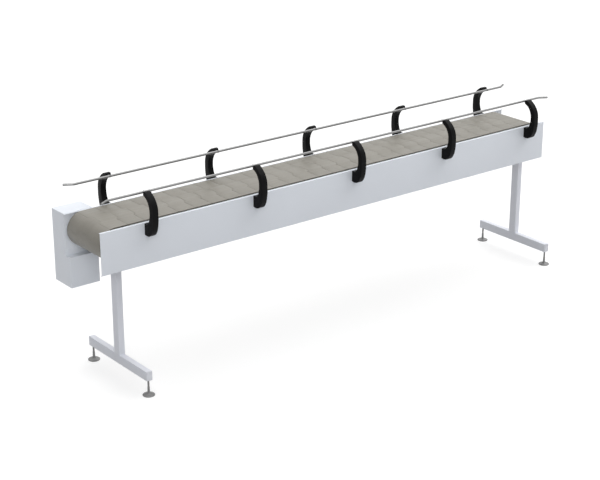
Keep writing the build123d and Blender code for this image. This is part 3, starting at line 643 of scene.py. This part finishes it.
def drive_box_cover():
    """A sheet box on the far panel's outer face, which also reaches in under the panel."""
    low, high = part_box("drive_cover")
    obj = block("drive_box", (low.x, low.y, low.z), (high.x, high.y, panel_low.z))
    edit(obj)
    bpy.ops.mesh.select_all(action="SELECT")
    bpy.ops.mesh.bisect(plane_co=(0, HALF_WIDTH, 0), plane_no=(0, 1, 0))
    pick(obj, "faces", lambda p: abs(p.z - panel_low.z) < COVER_SHEET / 2 and p.y > HALF_WIDTH)
    bpy.ops.mesh.extrude_region_move(
        TRANSFORM_OT_translate={"value": (0, 0, high.z - panel_low.z)})
    pick(obj, "faces", lambda p: abs(p.y - HALF_WIDTH) < COVER_SHEET / 2 and p.z > panel_low.z)
    bpy.ops.mesh.delete(type="FACE")
    done()
    fix_normals(obj)
    bevel_edges(obj, COVER_EDGE, segments=4, angle=60)
    apply_modifier(obj, "SOLIDIFY", thickness=COVER_SHEET, offset=-1)
    smooth(obj)
    return finish_piece(obj, "frame", finishes["panel_paint"], "panel_paint", "drive_cover")


# Stands and feet

def round_long_edges(obj, low, high, across):
    """Round a block's four edges that are square to the two axes given."""
    middle = (low + high) / 2

    def at_corner(p):
        return all(abs(abs(p[n] - middle[n]) - (high[n] - low[n]) / 2) < TUBE_CORNER / 2
                   for n in across)

    edit(obj)
    pick(obj, "edges", at_corner)
    bpy.ops.mesh.bevel(offset=TUBE_CORNER, segments=5, affect="EDGES")
    done()


def tube(name, node, axis):
    """A rectangular tube along axis 0, 1 or 2, with rounded long edges."""
    low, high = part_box(node)
    obj = block(name, low, high)
    round_long_edges(obj, low, high, [n for n in range(3) if n != axis])
    smooth(obj)
    return finish_piece(obj, "frame", finishes["stand_paint"], "stand_paint", node)


def beam_plugs():
    """Flat plugs in the ends of both beams."""
    plug_low, plug_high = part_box("beam_plugs")
    plugs = []
    for node in ("drive_end_beam", "idler_end_beam"):
        low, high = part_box(node)
        for y0, y1 in ((plug_low.y, low.y), (high.y, plug_high.y)):
            plug = block("plug", (low.x, y0, low.z), (high.x, y1, high.z))
            round_long_edges(plug, low, high, (0, 2))
            soften_edges(plug, PLUG_EDGE, segments=3, angle=60)
            plugs.append(plug)
    obj = joined(plugs, "beam_end_plugs")
    return finish_piece(obj, "frame", finishes["plug_plastic"], "plug_plastic", "beam_plugs")


def foot(n):
    """A pad with its neck, and the spindle that screws into the beam."""
    pad_low, pad_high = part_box("foot_pad_%d" % n)
    rod_low, rod_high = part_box("foot_spindle_%d" % n)
    x, y = (pad_low.x + pad_high.x) / 2, (pad_low.y + pad_high.y) / 2
    radius = (pad_high.x - pad_low.x) / 2
    top = pad_high.z
    rod = (rod_high.x - rod_low.x) / 2
    steps = [(radius - PAD_EDGE, 0), (radius, PAD_EDGE),
             (radius, PAD_RIM - PAD_EDGE), (radius - PAD_EDGE, PAD_RIM),
             (radius * PAD_CROWN_SHARE, PAD_CROWN_HEIGHT)]
    steps += NECK_STEPS
    steps += [(NECK_TOP_RADIUS, top - PAD_EDGE), (NECK_TOP_RADIUS - NECK_TOP_EDGE, top), (rod, top)]
    pad = turned("levelling_pad_%d" % n, x, y, steps)
    finish_piece(pad, "foot_%d" % n, finishes["foot_steel"], "foot_steel", "foot_pad_%d" % n)
    thread = [(rod, rod_low.z)]
    z = top + 2 * THREAD_PITCH
    while z < rod_high.z - 2 * THREAD_PITCH:
        thread += [(rod, z), (rod - THREAD_DEPTH, z + THREAD_PITCH / 2)]
        z += THREAD_PITCH
    thread += [(rod, z), (rod, rod_high.z - PAD_EDGE), (rod - PAD_EDGE, rod_high.z)]
    spindle = turned("levelling_spindle_%d" % n, x, y, thread, SPINDLE_SIDES)
    finish_piece(spindle, "foot_%d" % n, finishes["foot_steel"], "foot_steel",
                 "foot_spindle_%d" % n)


# Guide brackets and rails

def rounded_corner(before, corner, after, radius):
    """Two outline points, each with its handles, that round off a corner."""
    back, on = (before - corner).normalized(), (after - corner).normalized()
    turn = math.pi - back.angle(on)
    run, handle = radius * math.tan(turn / 2), radius * 4 / 3 * math.tan(turn / 4)
    first, last = corner + back * run, corner + on * run
    return [(first, first + back * handle, first - back * handle),
            (last, last - on * handle, last + on * handle)]


def bracket_outline(reach, rise, drop):
    """The bracket's outline, with x outward from the panel and y up from the panel's top edge.

    Each point has its place and its two handles, as places or as kinds of handle.
    """
    crown = Vector((CROWN_SHARE * reach, rise))
    tip_high, tip_low = Vector((-TIP_IN, rise)), Vector((-TIP_IN, rise - TIP_HEIGHT))
    hollow = [Vector((u * reach, v * rise)) for u, v in HOLLOW_SHARES]
    outline = [(Vector((0, -drop + BRACKET_EDGE)), "VECTOR", "VECTOR")]
    outline += [(Vector((u * reach, v * drop)), "AUTO", "AUTO") for u, v in HEEL_SHARES]
    outline += [(Vector((u * reach, v * rise)), "AUTO", "AUTO") for u, v in BACK_SHARES]
    outline.append((crown, crown + Vector((TIP_ROUND, 0)), crown - Vector((TIP_ROUND / 3, 0))))
    outline += rounded_corner(crown, tip_high, tip_low, TIP_ROUND)
    outline += rounded_corner(tip_high, tip_low, hollow[0], TIP_ROUND)
    outline += [(p, "AUTO", "AUTO") for p in hollow]
    outline += [(Vector((ARM_INNER, -BLOCK_TOP)), "VECTOR", "VECTOR"),
                (Vector((0, -BLOCK_TOP)), "VECTOR", "VECTOR")]
    return outline


def bracket_blank():
    """One bracket drawn flat as its outline says, then given its thickness and soft edges."""
    low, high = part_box("near_bracket_1")
    thick = high.x - low.x
    outline = bracket_outline(reach=-HALF_WIDTH - low.y, rise=high.z - panel_high.z,
                              drop=panel_high.z - low.z)
    curve = bpy.data.curves.new("bracket_outline", "CURVE")
    curve.dimensions = "2D"
    curve.fill_mode = "BOTH"
    curve.resolution_u = 8
    curve.extrude = thick / 2
    spline = curve.splines.new("BEZIER")
    spline.bezier_points.add(len(outline) - 1)
    spline.use_cyclic_u = True
    for point, (place, left, right) in zip(spline.bezier_points, outline):
        point.co = (*place, 0)
        for side, handle in (("left", left), ("right", right)):
            if isinstance(handle, str):
                setattr(point, "handle_%s_type" % side, handle)
            else:
                setattr(point, "handle_%s_type" % side, "FREE")
                setattr(point, "handle_" + side, (*handle, 0))
    obj = mesh_from(curve, "bracket_blank")
    edit(obj)
    bpy.ops.mesh.select_all(action="SELECT")
    bpy.ops.mesh.dissolve_limited(angle_limit=math.radians(0.2))
    # All edges round both flat faces, but not those on the panel.
    near = SHEET / 10
    pick(obj, "edges", lambda p: abs(abs(p.z) - thick / 2) < near and abs(p.x) > near)
    bpy.ops.mesh.bevel(offset=BRACKET_EDGE, segments=5, affect="EDGES", clamp_overlap=True)
    done()
    smooth(obj, angle=40)
    return obj


def make_brackets():
    blank = bracket_blank()
    for name, side in (("near", -1), ("far", 1)):
        for n in range(1, BRACKETS_PER_SIDE + 1):
            node = "%s_bracket_%d" % (name, n)
            low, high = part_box(node)
            x = (low.x + high.x) / 2
            # Columns: where the drawing's x, y and z go.
            stand = Matrix(((0, 0, side, x),
                            (side, 0, 0, side * HALF_WIDTH),
                            (0, 1, 0, panel_high.z),
                            (0, 0, 0, 1)))
            piece = copied(blank, "guide_" + node, stand)
            fix_normals(piece)
            finish_piece(piece, "frame", finishes["bracket_plastic"], "bracket_plastic", node)
    bpy.data.objects.remove(blank)


def guide_rail(name, side, node):
    """A round rod whose ends are bent outward."""
    low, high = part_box(node)
    y, z = RAIL_HALF_GAP, (low.z + high.z) / 2 - RAIL_SET_DOWN
    flared = high.y if side > 0 else -low.y
    # The rod's end is cut square, so how far its middle may go out depends on the bend's angle.
    angle = math.atan2(flared - y, RAIL_FLARE)
    for _ in range(4):
        out = flared - RAIL_RADIUS * math.cos(angle) - y
        angle = math.atan2(out, RAIL_FLARE)
    along, across = math.cos(angle), math.sin(angle)
    start, end = low.x + RAIL_RADIUS * across, high.x - RAIL_RADIUS * across
    corner, far_corner = start + RAIL_FLARE, end - RAIL_FLARE
    tangent = RAIL_BEND_RADIUS * math.tan(angle / 2)
    handle = RAIL_BEND_RADIUS * 4 / 3 * math.tan(angle / 4)
    # Each point has its place, and which way its handles go: 1 across is outward on a bent end.
    places = [((start, y + out), None, None),
              ((corner - tangent * along, y + tangent * across), (-1, 1), (1, -1)),
              ((corner + tangent, y), (-1, 0), (1, 0)),
              ((far_corner - tangent, y), (-1, 0), (1, 0)),
              ((far_corner + tangent * along, y + tangent * across), (-1, -1), (1, 1)),
              ((end, y + out), None, None)]
    curve = bpy.data.curves.new(name, "CURVE")
    curve.dimensions = "3D"
    curve.resolution_u = 10
    curve.bevel_depth = RAIL_RADIUS
    curve.bevel_resolution = 6
    curve.use_fill_caps = True
    spline = curve.splines.new("BEZIER")
    spline.bezier_points.add(len(places) - 1)
    for point, ((px, py), left, right) in zip(spline.bezier_points, places):
        point.co = (px, side * py, z)
        if left is None:
            point.handle_left_type = point.handle_right_type = "VECTOR"
            continue
        point.handle_left_type = point.handle_right_type = "FREE"
        for way, attribute in ((left, "handle_left"), (right, "handle_right")):
            dx, dy = way if way[1] == 0 else (way[0] * along, way[1] * across)
            setattr(point, attribute, (px + dx * handle, side * (py + dy * handle), z))
    obj = mesh_from(curve, name)
    soften_edges(obj, RAIL_EDGE, segments=2, angle=50)
    return finish_piece(obj, "frame", finishes["rail_steel"], "rail_steel", node)


def clip_arm(x, y0, y1, z):
    low = (x - CLIP_WIDTH / 2, min(y0, y1), z - CLIP_HEIGHT / 2)
    high = (x + CLIP_WIDTH / 2, max(y0, y1), z + CLIP_HEIGHT / 2)
    arm = block("clip", low, high)
    soften_edges(arm, CLIP_EDGE, segments=3, angle=60)
    return arm


def clip_ring(centre, side, radius):
    """A flat band spun round the rail's line, open towards the middle of the conveyor."""
    lip = Vector((0, -side * math.cos(CLIP_MOUTH), math.sin(CLIP_MOUTH)))
    along = Vector((1, 0, 0))
    clear_selection()
    bpy.ops.mesh.primitive_plane_add(size=1)
    ring = bpy.context.object
    ring.data.transform(Matrix.Diagonal((CLIP_WIDTH, CLIP_RING, 1, 1)))
    ring.data.transform(Matrix((along, lip, along.cross(lip))).transposed().to_4x4())
    ring.data.transform(Matrix.Translation(centre + lip * radius))
    edit(ring)
    bpy.ops.mesh.select_all(action="SELECT")
    bpy.ops.mesh.spin(steps=28, angle=-side * (2 * math.pi - 2 * CLIP_MOUTH), center=centre,
                      axis=along)
    done()
    fix_normals(ring)
    soften_edges(ring, CLIP_RING_EDGE, segments=2, angle=60)
    return ring


def rail_clips():
    """Short arms from the brackets' tips, each with an open ring that the rail snaps into."""
    clips = []
    ring_radius = RAIL_RADIUS + CLIP_RING / 2
    for name, side in (("near", -1), ("far", 1)):
        rail_low, rail_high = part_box(name + "_guide_rail")
        z = (rail_low.z + rail_high.z) / 2 - RAIL_SET_DOWN
        for n in range(1, BRACKETS_PER_SIDE + 1):
            low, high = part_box("%s_bracket_%d" % (name, n))
            x = (low.x + high.x) / 2
            clips.append(clip_arm(x, side * (HALF_WIDTH - TIP_IN),
                                  side * (RAIL_HALF_GAP + ring_radius), z))
            clips.append(clip_ring(Vector((x, side * RAIL_HALF_GAP, z)), side, ring_radius))
    obj = joined(clips, "rail_clip_set")
    return finish_piece(obj, "frame", finishes["clip_plastic"], "bracket_plastic", "rail_clips")


# Floor, light and camera

def seen_directly(tree):
    """1 for rays from the camera or from a gloss or glass surface, and 0 for the others."""
    rays = tree.nodes.new("ShaderNodeLightPath")
    result = rays.outputs["Is Camera Ray"]
    for kind in ("Is Glossy Ray", "Is Transmission Ray"):
        larger = tree.nodes.new("ShaderNodeMath")
        larger.operation = "MAXIMUM"
        tree.links.new(result, larger.inputs[0])
        tree.links.new(rays.outputs[kind], larger.inputs[1])
        result = larger.outputs[0]
    return result


def floor_material():
    """Pale and glowing where it is seen directly, and see-through from below."""
    material = bpy.data.materials.new("studio_floor")
    material.use_nodes = True
    tree = material.node_tree
    shader = tree.nodes["Principled BSDF"]
    shader.inputs["Base Color"].default_value = (*FLOOR_GREY, 1)
    shader.inputs["Roughness"].default_value = 0.9
    shader.inputs["Specular IOR Level"].default_value = 0.1
    shader.inputs["Emission Color"].default_value = (1, 1, 1, 1)
    glow = tree.nodes.new("ShaderNodeMath")
    glow.operation = "MULTIPLY"
    glow.inputs[1].default_value = FLOOR_GLOW_SEEN
    tree.links.new(seen_directly(tree), glow.inputs[0])
    tree.links.new(glow.outputs[0], shader.inputs["Emission Strength"])
    from_below = tree.nodes.new("ShaderNodeNewGeometry").outputs["Backfacing"]
    see_through = tree.nodes.new("ShaderNodeBsdfTransparent")
    surface = tree.nodes.new("ShaderNodeMixShader")
    tree.links.new(from_below, surface.inputs["Fac"])
    tree.links.new(shader.outputs["BSDF"], surface.inputs[1])
    tree.links.new(see_through.outputs["BSDF"], surface.inputs[2])
    tree.links.new(surface.outputs["Shader"], tree.nodes["Material Output"].inputs["Surface"])
    return material


def studio_floor():
    """A floor under whichever foot is lowest, so that no pad sinks into it as the feet move."""
    clear_selection()
    bpy.ops.mesh.primitive_plane_add(size=FLOOR_SIZE, location=(0, 0, FOOT_RISE))
    floor = bpy.context.object
    floor.name = "studio_floor"
    floor.data.materials.append(floor_material())
    for n in range(1, FOOT_COUNT + 1):
        under_foot = floor.constraints.new("FLOOR")
        under_foot.target = bpy.data.objects["levelling_pad_%d" % n].parent
        under_foot.floor_location = "FLOOR_NEGATIVE_Z"


def soft_sun(name, energy, spread_degrees, way):
    sun = bpy.data.lights.new(name, "SUN")
    sun.energy = energy
    sun.angle = math.radians(spread_degrees)
    lamp = bpy.data.objects.new(name, sun)
    bpy.context.scene.collection.objects.link(lamp)
    lamp.rotation_euler = Vector(way).to_track_quat("-Z", "Y").to_euler()


def studio_light():
    """A high soft key, a fill from the camera's side, and an even white world."""
    world = bpy.data.worlds.new("studio")
    bpy.context.scene.world = world
    world.use_nodes = True
    tree = world.node_tree
    background = tree.nodes["Background"]
    mix = tree.nodes.new("ShaderNodeMix")
    mix.inputs["A"].default_value = WORLD_LIGHT
    mix.inputs["B"].default_value = WORLD_LIGHT_SEEN
    tree.links.new(seen_directly(tree), mix.inputs["Factor"])
    tree.links.new(mix.outputs["Result"], background.inputs["Strength"])
    background.inputs["Color"].default_value = (1, 1, 1, 1)
    soft_sun("soft_key", energy=2.85, spread_degrees=84, way=(-0.28, -0.05, -1.0))
    soft_sun("front_fill", energy=0.66, spread_degrees=24, way=(0.42, 0.75, -0.50))


def photo_camera():
    """The camera that the photo was solved for: its place, its aim and its lens."""
    camera = bpy.data.cameras.new("photo_camera")
    camera.sensor_width = CAMERA_SENSOR
    camera.sensor_fit = "HORIZONTAL"
    camera.lens = CAMERA_LENS
    camera.clip_end = 100.0
    obj = bpy.data.objects.new("photo_camera", camera)
    bpy.context.scene.collection.objects.link(obj)
    obj.location = CAMERA_PLACE
    obj.rotation_euler = Vector(CAMERA_AIM).to_track_quat("-Z", "Y").to_euler()
    bpy.context.scene.camera = obj


finish_cad_nodes()
make_machine_parts()
make_chain()
side_panel("near_panel", -1, "near_side_panel")
side_panel("far_panel", 1, "far_side_panel")
drive_box_cover()
for node in ("drive_end_post", "idler_end_post"):
    tube(node + "_tube", node, axis=2)
for node in ("drive_end_beam", "idler_end_beam"):
    tube(node + "_tube", node, axis=1)
beam_plugs()
for number in range(1, FOOT_COUNT + 1):
    foot(number)
make_brackets()
guide_rail("near_rail", -1, "near_guide_rail")
guide_rail("far_rail", 1, "far_guide_rail")
rail_clips()
studio_floor()
studio_light()
photo_camera()
bpy.context.scene.view_settings.view_transform = "Standard"

clear_selection()
